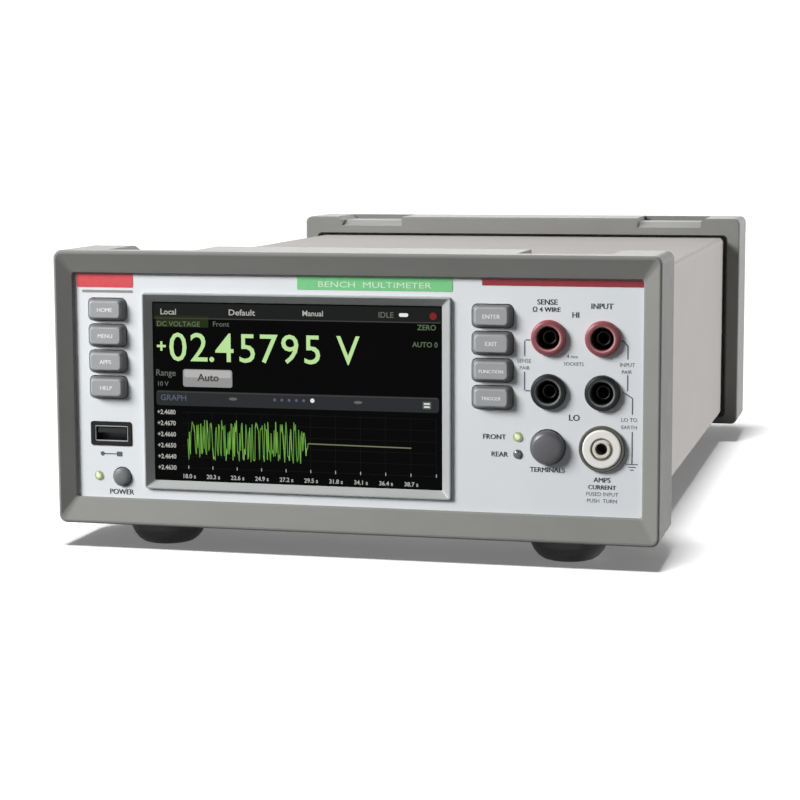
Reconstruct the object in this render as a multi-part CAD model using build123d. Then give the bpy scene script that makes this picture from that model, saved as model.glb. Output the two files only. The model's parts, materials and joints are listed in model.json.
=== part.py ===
from build123d import *
import math
import os

os.makedirs("parts", exist_ok=True)

# Half-rack bench multimeter with a touch screen, millimetres.
# Origin at the centre of the overall box on the surface it stands on:
# +X to the right seen from the front, +Y to the rear, +Z up.

# ---------------------------------------------------------------- dimensions
DEPTH = 358.0            # front bumper crest to rear bumper end
HALF_W = 112.0           # half width over the front bumper
REAR_HALF_W = 110.6      # half width over the rear bumper
Z_BUMP = (9.2, 110.6)    # underside and top of both bumpers
BUMP_D = 36.0            # depth of each bumper
CREST_X = 111.0          # crest line of the front bumper
CREST_Z = (10.4, 109.3)
SLOPE_X, SLOPE_Z, SLOPE_D = 105.9, (18.2, 102.5), 2.5
OPEN_X, OPEN_Z = 105.4, (18.7, 102.0)
PANEL_IN = 4.0           # panel face behind the crest
PANEL_T = 3.0
PANEL_X, PANEL_Z = 107.0, (16.9, 103.6)
CASE_X, CASE_Z = 102.6, (14.1, 101.1)
SHEET = 1.2              # cover and tray sheet
STACK_X = (60.0, 91.0)   # stacking recesses in the bumper tops
STACK_DEEP = 2.0
FOOT_X, FOOT_Y, FOOT_R = 76.7, 157.0, 14.5
SCREEN = (-75.6, 33.4, 25.7, 91.8)      # visible glass x0, x1, z0, z1
BEZEL = (-79.0, 37.3, 22.5, 95.3)
KEY_W, KEY_H, KEY_R = 14.6, 8.1, 1.9
KEY_FACE = (11.4, 5.9)
KEY_PROUD, KEY_TRAVEL = 3.0, 0.8
KEY_PITCH = 9.6
KEY_TOP_Z = 88.8         # centre of the top key
KEY_LEFT_X, KEY_RIGHT_X = -92.6, 52.05
JACK_PITCH = 19.05       # three quarters of an inch
JACK_X, JACK_Z = 72.1, 81.5
JACK_R, JACK_HOLE_R, JACK_PROUD = 6.3, 4.0, 2.2
PIN_BORE_R = 2.0
AMPS_X, AMPS_Z = 91.15, 42.8
TERM_X, TERM_Z, TERM_R, TERM_TRAVEL = 71.9, 42.8, 6.1, 3.0
POWER_X, POWER_Z, POWER_R = -88.0, 26.6, 3.4
USB_X, USB_Z = -92.05, 42.65

YF = -DEPTH / 2          # crest of the front bumper
YP = YF + PANEL_IN       # face of the front panel
YB = YP + PANEL_T        # back of the front panel
YR = DEPTH / 2
Y_REAR_PANEL = 160.0


# ------------------------------------------------------------------- helpers
def bx(x0, x1, y0, y1, z0, z1):
    return Pos((x0 + x1) / 2, (y0 + y1) / 2, (z0 + z1) / 2) * Box(x1 - x0, y1 - y0, z1 - z0)


def py(x, y, z):
    """Plane facing the rear: extrusions run along +Y."""
    return Plane(origin=(x, y, z), x_dir=(1, 0, 0), z_dir=(0, 1, 0))


def cy(x, z, r, y0, y1):
    return extrude(py(x, y0, z) * Circle(r), amount=y1 - y0)


def ring(x, z, r_out, r_in, y0, y1):
    return cy(x, z, r_out, y0, y1) - cy(x, z, r_in, y0 - 1, y1 + 1)


def rr(x0, x1, z0, z1, r, y0, y1):
    """Rounded rectangle extruded along Y."""
    return extrude(py((x0 + x1) / 2, y0, (z0 + z1) / 2) * RectangleRounded(x1 - x0, z1 - z0, r), amount=y1 - y0)


def frustum(a, ra, ya, b, rb, yb):
    """Loft between two rounded rectangles (x0, x1, z0, z1) at two Y stations."""
    s = []
    for (x0, x1, z0, z1), r, y in ((a, ra, ya), (b, rb, yb)):
        s.append(py((x0 + x1) / 2, y, (z0 + z1) / 2) * RectangleRounded(x1 - x0, z1 - z0, r))
    return loft(s)


def turned(x, z, pts):
    """Solid of revolution about the Y line through (x, z); pts are (radius, y)."""
    prof = Polyline(*[(r, y, 0) for r, y in pts], close=True)
    sk = make_face(prof)
    return Pos(x, 0, z) * revolve(sk, axis=Axis.Y, revolution_arc=360)


def rad(v, k):
    return math.cos(math.radians(v)) * k, math.sin(math.radians(v)) * k


def edges_at(obj, axis, value, tol=0.02):
    out = []
    for e in obj.edges():
        c0, c1 = e.bounding_box().min, e.bounding_box().max
        a, b = {"x": (c0.X, c1.X), "y": (c0.Y, c1.Y), "z": (c0.Z, c1.Z)}[axis]
        if abs(a - value) < tol and abs(b - value) < tol:
            out.append(e)
    return out


def soft(obj, edges, r, chamfered=False):
    """Fillet that falls back to smaller radii."""
    if not edges:
        return obj
    for k in (1.0, 0.7, 0.45):
        try:
            return chamfer(edges, r * k) if chamfered else fillet(edges, r * k)
        except Exception:
            continue
    print("no fillet", r)
    return obj


def save(name, *solids):
    sol = []
    for s in solids:
        sol += list(s.solids())
    for s in sol:
        if not s.is_valid:
            print("INVALID", name)
    shape = sol[0] if len(sol) == 1 else Compound(children=sol)
    shape.label = name
    export_step(shape, "parts/%s.step" % name)


# ------------------------------------------------------------------- bumpers
def stack_recess(y0, y1):
    """Shallow pockets that take the feet of a unit stacked on top."""
    z = Z_BUMP[1]
    cuts = []
    for s in (-1, 1):
        a, b = sorted((s * STACK_X[0], s * STACK_X[1]))
        c = bx(a, b, y0, y1, z - STACK_DEEP, z + 1)
        out = s * STACK_X[1]
        w = Polyline((out, z - STACK_DEEP), (out + s * 2.6, z + 0.01), (out, z + 0.01), close=True)
        c += extrude(Plane(origin=(0, y0, 0), x_dir=(1, 0, 0), z_dir=(0, -1, 0)) * make_face(w), amount=-(y1 - y0))
        cuts.append(c)
    return cuts


def screw_hole(x, y, z0, z1, r=2.1):
    return Pos(x, y, z0) * Cylinder(r, z1 - z0, align=(Align.CENTER, Align.CENTER, Align.MIN))


fb = rr(-HALF_W, HALF_W, *Z_BUMP, 3.0, YF, YF + BUMP_D)
fb = soft(fb, edges_at(fb, "y", YF), 0.8)
fb = soft(fb, edges_at(fb, "y", YF + BUMP_D), 1.2)
# mouth: slope from the crest, a short steeper wall, then the pocket that grips the panel
k = 0.5 / SLOPE_D
flare = (-CREST_X - k * (CREST_X - SLOPE_X), CREST_X + k * (CREST_X - SLOPE_X),
         CREST_Z[0] - k * (SLOPE_Z[0] - CREST_Z[0]), CREST_Z[1] + k * (CREST_Z[1] - SLOPE_Z[1]))
inner, wall = (-SLOPE_X, SLOPE_X, *SLOPE_Z), (-OPEN_X, OPEN_X, *OPEN_Z)
mouth = frustum(flare, 2.4, YF - 0.5, inner, 1.2, YF + SLOPE_D)
mouth += frustum(inner, 1.2, YF + SLOPE_D, wall, 1.0, YF + SLOPE_D + 0.7)
mouth += rr(-OPEN_X, OPEN_X, *OPEN_Z, 1.0, YF + SLOPE_D + 0.7, YP + 0.5)
mouth += rr(-PANEL_X - 0.3, PANEL_X + 0.3, PANEL_Z[0] - 0.3, PANEL_Z[1] + 0.3, 2.3, YP - 0.05, YB + 0.1)
fb -= mouth
fb -= rr(-CASE_X - 0.2, CASE_X + 0.2, CASE_Z[0] - 0.2, CASE_Z[1] + 0.2, 2.2, YB, YF + BUMP_D + 1)
for c in stack_recess(YF + 8.0, YF + BUMP_D + 1):
    fb -= c
for s in (-1, 1):
    fb -= screw_hole(s * FOOT_X, -FOOT_Y, Z_BUMP[0] - 1, CASE_Z[0])
save("front_bumper", fb)

y0 = YR - BUMP_D
rb = rr(-REAR_HALF_W, REAR_HALF_W, *Z_BUMP, 3.0, y0, YR)
rb = soft(rb, edges_at(rb, "y", y0), 0.9)
rb = soft(rb, edges_at(rb, "y", YR), 1.6)
rb -= rr(-CASE_X - 0.2, CASE_X + 0.2, CASE_Z[0] - 0.2, CASE_Z[1] + 0.2, 2.2, y0 - 1, 166.2)
rb -= rr(-104.6, 104.6, 12.6, 102.5, 2.4, y0 - 1, y0 + 6.0)
rb -= frustum((-98.6, 98.6, 18.4, 96.8), 3.0, 166.1, (-102.6, 102.6, 14.6, 101.2), 3.0, YR + 0.001)
for s in (-1, 1):
    rb -= screw_hole(s * FOOT_X, FOOT_Y, Z_BUMP[0] - 1, CASE_Z[0])
for c in stack_recess(y0 - 1, YR - 6.0):
    rb -= c
for s in (-1, 1):
    a, b = sorted((s * STACK_X[0], s * (STACK_X[1] + 0.6)))
    zt = Z_BUMP[1] - STACK_DEEP
    w = Polyline((y0 - 0.01, zt - 2.6), (y0 - 0.01, zt + 0.01), (y0 + 7.0, zt + 0.01), close=True)
    rb -= extrude(Plane(origin=(a, 0, 0), x_dir=(0, 1, 0), z_dir=(1, 0, 0)) * make_face(w), amount=b - a)
save("rear_bumper", rb)

# ---------------------------------------------------------------------- case
CY0, CY1 = YB + 0.1, 166.0
cover = rr(-CASE_X, CASE_X, *CASE_Z, 2.0, CY0, CY1)
cover -= rr(-CASE_X + SHEET, CASE_X - SHEET, CASE_Z[0] + SHEET, CASE_Z[1] - SHEET, 0.9, CY0 - 1, CY1 + 1)
cover -= bx(-68.0, 68.0, CY0 - 1, CY1 + 1, CASE_Z[0] - 1, CASE_Z[0] + SHEET + 0.5)
for sx in (-1, 1):
    for sy in (-1, 1):
        cover -= screw_hole(sx * FOOT_X, sy * FOOT_Y, CASE_Z[0] - 1, CASE_Z[0] + 2)
save("case_cover", cover)

TZ0 = CASE_Z[0] + SHEET + 0.1
tray = bx(-101.2, 101.2, CY0 + 0.1, CY1, TZ0, TZ0 + SHEET)
for s in (-1, 1):
    a, b = sorted((s * 100.0, s * 101.2))
    tray += bx(a, b, CY0 + 0.1, CY1, TZ0, 34.0)
tray = soft(tray, [e for e in tray.edges().filter_by(Axis.Y) if abs(abs(e.center().X) - 101.2) < 0.01 and e.center().Z < TZ0 + 0.1], 1.0)
for sx in (-1, 1):
    for sy in (-1, 1):
        tray -= screw_hole(sx * FOOT_X, sy * FOOT_Y, TZ0 - 1, TZ0 + 3, 2.05)
# vent slots through the floor of the tray
for k in range(9):
    x = -64 + 16 * k
    tray -= extrude(Plane.XY.offset(TZ0 - 1) * Pos(x, 60) * SlotOverall(60, 4.0, rotation=90), amount=4)
save("chassis_tray", tray)

# --------------------------------------------------------------- front panel
KEYS_L = ["key_home", "key_menu", "key_apps", "key_help"]
KEYS_R = ["key_enter", "key_exit", "key_function", "key_trigger"]
LIGHTS = {"power_light": (-97.2, 26.7, 1.7), "front_terminals_light": (61.2, 46.1, 1.7), "rear_terminals_light": (61.2, 39.9, 1.6)}
JACKS = {"sense_hi_jack": (JACK_X, JACK_Z), "sense_lo_jack": (JACK_X, JACK_Z - JACK_PITCH),
         "input_hi_jack": (JACK_X + JACK_PITCH, JACK_Z), "input_lo_jack": (JACK_X + JACK_PITCH, JACK_Z - JACK_PITCH)}

fp = rr(-PANEL_X, PANEL_X, *PANEL_Z, 2.0, YP, YB)
fp += bx(-95, 95, YB - 0.1, YB + 10, 98.0, 99.4)
fp += bx(-95, 95, YB - 0.1, YB + 10, 17.6, 19.0)
fp -= rr(BEZEL[0] + 1.0, BEZEL[1] - 1.0, BEZEL[2] + 1.0, BEZEL[3] - 1.0, 1.6, YP - 1, YB + 1)
for i in range(4):
    z = KEY_TOP_Z - KEY_PITCH * i
    for x in (KEY_LEFT_X, KEY_RIGHT_X):
        fp -= rr(x - KEY_W / 2 - 0.3, x + KEY_W / 2 + 0.3, z - KEY_H / 2 - 0.3, z + KEY_H / 2 + 0.3, KEY_R + 0.3, YP - 1, YB + 1)
for x, z in JACKS.values():
    fp -= cy(x, z, 5.3, YP - 1, YB + 1)
for x, z, r in LIGHTS.values():
    fp -= cy(x, z, r + 0.1, YP - 1, YB + 1)
fp -= cy(AMPS_X, AMPS_Z, 7.7, YP - 1, YB + 1)
fp -= cy(TERM_X, TERM_Z, TERM_R + 0.35, YP - 1, YB + 1)
fp -= cy(POWER_X, POWER_Z, POWER_R + 0.35, YP - 1, YB + 1)
fp -= rr(USB_X - 8.1, USB_X + 8.1, USB_Z - 4.5, USB_Z + 4.5, 0.9, YP - 1, YB + 1)
save("front_panel", fp)

# raised frame around the screen, sloping down to the glass
bz = frustum(BEZEL, 1.2, YP - 0.02, (BEZEL[0] + 0.3, BEZEL[1] - 0.3, BEZEL[2] + 0.3, BEZEL[3] - 0.3), 1.0, YP - 1.2)
bz += rr(BEZEL[0] + 1.1, BEZEL[1] - 1.1, BEZEL[2] + 1.1, BEZEL[3] - 1.1, 1.5, YP - 0.1, YP + 1.35)
bz -= frustum((BEZEL[0] + 0.75, BEZEL[1] - 0.75, BEZEL[2] + 0.75, BEZEL[3] - 0.75), 0.6, YP - 1.201, SCREEN, 0.4, YP + 1.4)
save("display_bezel", bz)

GLASS_Y = YP + 1.4
glass = rr(SCREEN[0] - 1.6, SCREEN[1] + 1.6, SCREEN[2] - 1.6, SCREEN[3] + 1.6, 1.0, GLASS_Y, GLASS_Y + 1.1)
save("touch_glass", glass)

lcd = rr(SCREEN[0] - 1.0, SCREEN[1] + 1.0, SCREEN[2] - 1.0, SCREEN[3] + 1.0, 0.8, GLASS_Y + 1.15, YB + 2.6)
lcd += bx(-60, 20, YB + 2.5, YB + 3.4, 30, 86)
save("lcd_module", lcd)

# circuit board behind the screen, keys and lights
BY = YB + 4.2
board = bx(-98.5, 62.5, BY, BY + 1.6, 20.5, 97.0)
board += bx(POWER_X - 3.1, POWER_X + 3.1, BY - 1.4, BY + 0.1, POWER_Z - 3.1, POWER_Z + 3.1)
board += bx(-40, 0, BY + 1.5, BY + 5.0, 34, 40)
for x, z in ((-84, 60), (48, 38), (30, 60), (-60, 70)):
    board += bx(x - 5, x + 5, BY + 1.5, BY + 3.0, z - 5, z + 5)
save("front_board", board)


def membrane(xc):
    z1 = KEY_TOP_Z + 5.0
    z0 = KEY_TOP_Z - 3 * KEY_PITCH - 5.0
    m = rr(xc - 8.4, xc + 8.4, z0, z1, 1.5, BY - 1.0, BY - 0.05)
    for i in range(4):
        z = KEY_TOP_Z - KEY_PITCH * i
        m += loft([py(xc, BY - 0.9, z) * Circle(3.2), py(xc, BY - 1.9, z) * Circle(2.2)])
    return m


save("keypad_membranes", membrane(KEY_LEFT_X), membrane(KEY_RIGHT_X))


def key(xc, zc, name):
    w, h, r = KEY_W, KEY_H, KEY_R
    rect = (xc - w / 2, xc + w / 2, zc - h / 2, zc + h / 2)
    fw, fh = KEY_FACE
    top = (xc - fw / 2, xc + fw / 2, zc - fh / 2, zc + fh / 2)
    k = rr(*rect, r, YP - 0.3, YB + 0.2)
    cap = frustum(rect, r, YP - 0.3, top, 1.3, YP - KEY_PROUD)
    cap = soft(cap, edges_at(cap, "y", YP - KEY_PROUD), 0.45)
    k += cap
    k += rr(xc - 7.9, xc + 7.9, zc - 4.55, zc + 4.55, 1.2, YB + 0.2, YB + 0.9)
    k += rr(xc - 3.0, xc + 3.0, zc - 2.0, zc + 2.0, 0.8, YB + 0.8, YB + 1.4)
    save(name, k)


for i in range(4):
    key(KEY_LEFT_X, KEY_TOP_Z - KEY_PITCH * i, KEYS_L[i])
    key(KEY_RIGHT_X, KEY_TOP_Z - KEY_PITCH * i, KEYS_R[i])

pb = turned(POWER_X, POWER_Z, [(0, YP - 1.9), (1.6, YP - 1.8), (2.5, YP - 1.55), (3.1, YP - 1.1), (POWER_R, YP - 0.6), (POWER_R, YB + 0.2),
                               (4.3, YB + 0.2), (4.3, YB + 1.0), (1.5, YB + 1.0), (1.5, YB + 1.6), (0, YB + 1.6)])
save("power_button", pb)

tb = turned(TERM_X, TERM_Z, [(0, YP - 3.9), (1.6, YP - 3.86), (3.2, YP - 3.68), (4.5, YP - 3.4), (5.3, YP - 3.0), (5.8, YP - 2.45), (TERM_R, YP - 1.6),
                             (TERM_R, YB + 0.2), (7.0, YB + 0.2), (7.0, YB + 1.2), (2.6, YB + 1.2), (2.6, YB + 3.0), (0, YB + 3.0)])
save("terminals_button", tb)
rod = bx(TERM_X - 2.0, TERM_X + 2.0, YB + 3.0, YB + 22.0, TERM_Z - 2.0, TERM_Z + 2.0)
rod += bx(TERM_X - 3.2, TERM_X + 3.2, YB + 11.0, YB + 13.0, TERM_Z - 3.2, TERM_Z + 3.2)
save("terminals_pushrod", rod)
sw = bx(TERM_X - 7.5, TERM_X + 7.5, YB + 18.0, YB + 52.0, TERM_Z - 6.0, TERM_Z + 6.0)
sw -= bx(TERM_X - 2.4, TERM_X + 2.4, YB + 17.0, YB + 26.0, TERM_Z - 2.4, TERM_Z + 2.4)
save("terminals_switch", sw)

for n, (x, z, r) in LIGHTS.items():
    lp = turned(x, z, [(0, YP - 0.8), (r * 0.5, YP - 0.72), (r * 0.85, YP - 0.45), (r, YP - 0.05), (r, YB + 1.2), (r + 0.8, YB + 1.2), (r + 0.8, YB + 2.0), (0, YB + 2.0)])
    save(n, lp)

# USB host socket: moulded surround in the panel, and the metal shell with its tongue
us = rr(USB_X - 8.0, USB_X + 8.0, USB_Z - 4.4, USB_Z + 4.4, 0.8, YP - 0.35, YB - 0.4)
us -= rr(USB_X - 6.6, USB_X + 6.6, USB_Z - 2.95, USB_Z + 2.95, 0.3, YP - 1, YB + 1)
save("usb_host_surround", us)
ush = rr(USB_X - 6.55, USB_X + 6.55, USB_Z - 2.9, USB_Z + 2.9, 0.4, YP + 0.3, BY - 0.1)
ush -= rr(USB_X - 6.2, USB_X + 6.2, USB_Z - 2.55, USB_Z + 2.55, 0.2, YP - 1, BY - 0.8)
ush += bx(USB_X - 5.6, USB_X + 5.6, YP + 0.9, BY - 0.75, USB_Z + 0.2, USB_Z + 2.0)
save("usb_host_port", ush)


# --------------------------------------------------------------------- jacks
def jack(x, z, y_face, out, hole_r=JACK_HOLE_R):
    """Shrouded 4 mm socket body; out is -1 towards the front, +1 to the rear."""
    def y(v):
        return y_face - out * v        # v measured inwards from the panel face
    p = [(hole_r, y(-JACK_PROUD + 0.55)), (hole_r + 0.45, y(-JACK_PROUD + 0.1)), (hole_r + 0.8, y(-JACK_PROUD)), (JACK_R - 1.0, y(-JACK_PROUD + 0.05)),
         (JACK_R - 0.35, y(-JACK_PROUD + 0.5)), (JACK_R - 0.05, y(-JACK_PROUD + 1.2)), (JACK_R, y(-0.01)), (5.2, y(-0.01)),
         (5.2, y(24.0)), (0, y(24.0)), (0, y(22.5)), (hole_r, y(22.5))]
    return turned(x, z, p)


def contact(x, z, y_face, out):
    def y(v):
        return y_face - out * v
    p = [(PIN_BORE_R, y(1.8)), (2.35, y(1.6)), (2.65, y(1.8)), (2.65, y(21.0)), (3.9, y(21.0)), (3.9, y(22.4)), (0, y(22.4)), (0, y(20.0)), (PIN_BORE_R, y(20.0))]
    return turned(x, z, p)


for n, (x, z) in JACKS.items():
    save(n, jack(x, z, YP, -1))
save("jack_contacts", *[contact(x, z, YP, -1) for x, z in JACKS.values()])


def nut(x, z, r_in, af, y0, y1):
    n = extrude(py(x, y0, z) * RegularPolygon(af / 2 / math.cos(math.pi / 6), 6), amount=y1 - y0)
    return n - cy(x, z, r_in, y0 - 1, y1 + 1)


save("jack_nuts", *[nut(x, z, 5.25, 13.6, YB + 0.02, YB + 3.0) for x, z in JACKS.values()])

# current input: bayonet fuse carrier with a 4 mm socket in its head
ah = turned(AMPS_X, AMPS_Z, [(7.05, YP - 1.0), (7.3, YP - 1.35), (7.8, YP - 1.4), (8.15, YP - 1.0), (8.2, YP - 0.01), (7.6, YP - 0.01), (7.6, YB + 36),
                             (0, YB + 36), (0, YB + 34.4), (3.2, YB + 34.4), (3.2, YB + 23.6), (5.55, YB + 23.6), (5.55, YB + 9.2), (6.4, YB + 9.2),
                             (6.4, YB + 4.0), (5.55, YB + 4.0), (5.55, YB - 0.3), (7.05, YB - 0.3)])
for a in (90, 270):
    key_way = bx(AMPS_X - 2.3, AMPS_X + 2.3, YB - 1.0, YB + 4.2, AMPS_Z - 6.4, AMPS_Z) if a == 270 else bx(AMPS_X - 2.3, AMPS_X + 2.3, YB - 1.0, YB + 4.2, AMPS_Z, AMPS_Z + 6.4)
    key_way = key_way & cy(AMPS_X, AMPS_Z, 6.4, YB - 0.4, YB + 4.2)
    ah -= key_way
save("amps_holder", ah)
save("amps_holder_nut", nut(AMPS_X, AMPS_Z, 7.65, 17.6, YB + 0.02, YB + 3.0))

ac = turned(AMPS_X, AMPS_Z, [(2.0, YP - 1.45), (2.25, YP - 1.75), (3.0, YP - 1.75), (3.15, YP - 1.6), (3.15, YP - 0.95), (3.75, YP - 0.95), (3.85, YP - 1.6),
                             (6.3, YP - 1.6), (6.75, YP - 1.45), (6.9, YP - 1.1), (6.9, YP + 1.0), (5.3, YP + 1.0), (5.3, YB + 22.0), (2.66, YB + 22.0),
                             (2.66, YB + 11.0), (0, YB + 11.0), (0, YB + 9.6), (2.0, YB + 9.6)])
lug = bx(AMPS_X - 6.1, AMPS_X + 6.1, YB + 4.3, YB + 7.0, AMPS_Z - 2.0, AMPS_Z + 2.0) & ring(AMPS_X, AMPS_Z, 6.1, 5.0, YB + 4.0, YB + 7.5)
ac += lug
save("amps_fuse_carrier", ac)
fuse = cy(AMPS_X, AMPS_Z, 2.3, YB + 16.0, YB + 26.2) + ring(AMPS_X, AMPS_Z, 2.6, 1.0, YB + 11.15, YB + 17.0) + cy(AMPS_X, AMPS_Z, 2.6, YB + 25.2, YB + 31.1) + cy(AMPS_X, AMPS_Z, 1.2, YB + 11.15, YB + 16.5)
save("amps_fuse", fuse)

# --------------------------------------------------------- front sheet frame
SF = YB + 23.2
sf = bx(-99.6, 99.6, SF, SF + 1.2, 16.8, 99.6)
sf += bx(-99.6, 99.6, SF + 1.1, SF + 10, 16.8, 18.0)
sf += bx(-99.6, 99.6, SF + 1.1, SF + 8, 98.4, 99.6)
sf -= rr(60.5, 104.0, 31.5, 92.0, 2, SF - 1, SF + 3)
sf -= rr(-70, 30, 45, 82, 3, SF - 1, SF + 3)
sf -= rr(-30, -5, 19, 40, 2, SF - 1, SF + 3)
save("front_subframe", sf)


# ---------------------------------------------------------------------- feet
def foot(x, y):
    pts = [(2.1, 4.2), (4.2, 4.2), (4.2, 0.6), (4.6, 0.0), (8.4, 0.0), (9.6, 0.35), (11.2, 1.5), (12.7, 3.3), (13.8, 5.6), (14.35, 7.8), (FOOT_R, 9.18), (2.1, 9.18)]
    f = revolve(make_face(Polyline(*[(r, 0, z) for r, z in pts], close=True)), axis=Axis.Z, revolution_arc=360)
    return Pos(x, y, 0) * f


def foot_screw(x, y):
    pts = [(0, 2.6), (1.2, 2.6), (1.2, 1.7), (3.2, 1.7), (3.6, 2.2), (3.6, 4.15), (2.0, 4.15), (2.0, 19.0), (0, 19.0)]
    f = revolve(make_face(Polyline(*[(r, 0, z) for r, z in pts], close=True)), axis=Axis.Z, revolution_arc=360)
    return Pos(x, y, 0) * f


spots = [(sx * FOOT_X, sy * FOOT_Y) for sx in (-1, 1) for sy in (-1, 1)]
save("rubber_feet", *[foot(x, y) for x, y in spots])
save("foot_screws", *[foot_screw(x, y) for x, y in spots])

# ---------------------------------------------------------------- rear panel
RP = Y_REAR_PANEL
RO = RP + 1.5            # outer face of the rear panel
INX, INZ = -74.0, 45.9   # mains inlet centre
REAR_JACKS = {"rear_input_hi_jack": (81.0, 62.0), "rear_input_lo_jack": (81.0, 42.95), "rear_sense_hi_jack": (61.95, 62.0), "rear_sense_lo_jack": (61.95, 42.95)}
TRIG = [(28.0, 30.0), (46.0, 30.0)]
rp = bx(-99.6, 99.6, RP, RO, 16.8, 99.6)
for s in (-1, 1):
    a, b = sorted((s * 98.4, s * 99.6))
    rp += bx(a, b, RP - 10, RP + 0.1, 36.0, 99.6)
rp -= bx(-88.1, -59.9, RP - 1, RO + 1, 21.9, 57.1)
for x, z in REAR_JACKS.values():
    rp -= cy(x, z, 5.3, RP - 1, RO + 1)
for x, z in TRIG:
    rp -= cy(x, z, 4.9, RP - 1, RO + 1)
rp -= bx(-8.2, 8.2, RP - 1, RO + 1, 23.8, 37.6)      # network socket
rp -= bx(-29.2, -16.8, RP - 1, RO + 1, 24.8, 36.2)   # USB device socket
rp -= bx(-44.0, 44.0, RP - 1, RO + 1, 64.0, 86.0)    # option slot
for k in range(7):
    rp -= extrude(py(-90 + 5.4 * k, RP - 1, 80) * SlotOverall(26, 2.6, rotation=90), amount=4)
    rp -= extrude(py(57.6 + 5.4 * k, RP - 1, 84) * SlotOverall(20, 2.6, rotation=90), amount=4)
rp -= cy(-46.0, 30.0, 2.05, RP - 1, RO + 1)
for s in (-1, 1):
    rp -= cy(s * 49.0, 75.0, 1.55, RP - 1, RO + 1)
save("rear_panel", rp)

inlet = bx(-90.0, -58.0, RO + 0.02, RO + 2.2, 19.6, 59.4)
inlet = soft(inlet, inlet.edges().filter_by(Axis.Y), 2.0)
inlet += bx(-88.0, -60.0, RO - 18, RO + 0.1, 22.0, 57.0)
rec = bx(INX - 12.2, INX + 12.2, RO - 14.5, RO + 3, INZ - 8.4, INZ + 8.4)
rec = chamfer([e for e in rec.edges().filter_by(Axis.Y) if e.center().Z > INZ], 4.5)
inlet -= rec
inlet -= bx(INX - 12.2, INX + 12.2, RO - 16.0, RO + 3, 23.4, 34.2)
save("power_inlet", inlet)
pins = []
for dx, dz in ((-7, -2.0), (7, -2.0), (0, 2.0)):
    p = bx(INX + dx - 1.0, INX + dx + 1.0, RO - 14.48, RO + 0.6, INZ + dz - 2.0, INZ + dz + 2.0)
    pins.append(soft(p, edges_at(p, "y", RO + 0.6), 0.5, True))
save("inlet_pins", *pins)
dr = bx(INX - 11.9, INX + 11.9, RO - 15.6, RO + 2.4, 23.7, 33.9)
dr += bx(INX - 12.6, INX + 12.6, RO + 2.3, RO + 4.2, 22.8, 34.8)
dr -= bx(INX - 10.6, INX + 10.6, RO - 12.6, RO - 5.6, 25.2, 35.0)
dr -= bx(INX - 5.0, INX + 5.0, RO + 3.2, RO + 5.0, 22.0, 24.6)
save("line_fuse_drawer", dr)
lf = Pos(INX, RO - 9.1, 27.9) * Rot(0, 90, 0) * Cylinder(2.3, 19.0)
for s in (-1, 1):
    lf += Pos(INX + s * 7.2, RO - 9.1, 27.9) * Rot(0, 90, 0) * Cylinder(2.6, 5.6)
save("line_fuse", lf)

save("rear_hi_jacks", *[jack(x, z, RO, 1) for n, (x, z) in REAR_JACKS.items() if "hi" in n])
save("rear_lo_jacks", *[jack(x, z, RO, 1) for n, (x, z) in REAR_JACKS.items() if "lo" in n])
save("rear_jack_contacts", *[contact(x, z, RO, 1) for x, z in REAR_JACKS.values()])

trig = []
for x, z in TRIG:
    t = turned(x, z, [(4.1, RO + 12.0), (4.1, RO + 1.5), (0, RO + 1.5), (0, RP - 6.0), (4.8, RP - 6.0), (4.8, RO + 0.02), (7.0, RO + 0.02), (7.0, RO + 2.0), (4.85, RO + 2.0), (4.85, RO + 11.6), (4.6, RO + 12.0)])
    for s in (-1, 1):
        a, b = sorted((x + s * 4.6, x + s * 5.6))
        t += bx(a, b, RO + 8.2, RO + 10.2, z - 1.0, z + 1.0)
    trig.append(t)
save("trigger_connectors", *trig)
save("trigger_cores", *[turned(x, z, [(0.8, RO + 8.5), (2.3, RO + 8.5), (2.3, RO + 1.52), (0.0, RO + 1.52), (0, RO + 3.0), (0.8, RO + 3.0)]) for x, z in TRIG])

lan = bx(-8.0, 8.0, RO - 18.0, RO + 0.6, 24.0, 37.4)
lan -= bx(-5.9, 5.9, RO - 12.5, RO + 2, 26.4, 34.4)
lan -= bx(-3.0, 3.0, RO - 12.5, RO + 2, 25.2, 26.5)
save("lan_port", lan)
ub = bx(-29.0, -17.0, RO - 16.0, RO + 0.6, 25.0, 36.0)
ub_in = bx(-27.2, -18.8, RO - 11.0, RO + 2, 26.6, 34.4)
ub_in = chamfer([e for e in ub_in.edges().filter_by(Axis.Y) if e.center().Z > 32], 1.6)
ub -= ub_in
ub += bx(-25.8, -20.2, RO - 11.1, RO - 2.0, 29.0, 32.0)
save("usb_device_port", ub)

slot = bx(-52.5, 52.5, RO + 0.02, RO + 1.3, 61.5, 88.5)
slot = soft(slot, slot.edges().filter_by(Axis.Y), 1.5)
for s in (-1, 1):
    slot -= cy(s * 49.0, 75.0, 1.7, RO - 1, RO + 3)
slot += bx(-43.8, 43.8, RO - 6.0, RO + 0.1, 84.0, 85.2)
save("option_slot_cover", slot)


def pan_screw(x, z, r, head_r, y_seat, y_in, deep):
    s = turned(x, z, [(0, y_seat + 0.7), (0.9, y_seat + 0.7), (0.9, y_seat + deep), (head_r - 0.5, y_seat + deep), (head_r, y_seat + deep - 0.6), (head_r, y_seat), (r, y_seat), (r, y_in), (0, y_in)])
    return s


save("slot_screws", *[pan_screw(s * 49.0, 75.0, 1.5, 2.9, RO + 1.32, RP - 5.0, 1.9) for s in (-1, 1)])
save("ground_screw", pan_screw(-46.0, 30.0, 2.0, 4.2, RO + 0.02, RP - 6.0, 3.2))

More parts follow.
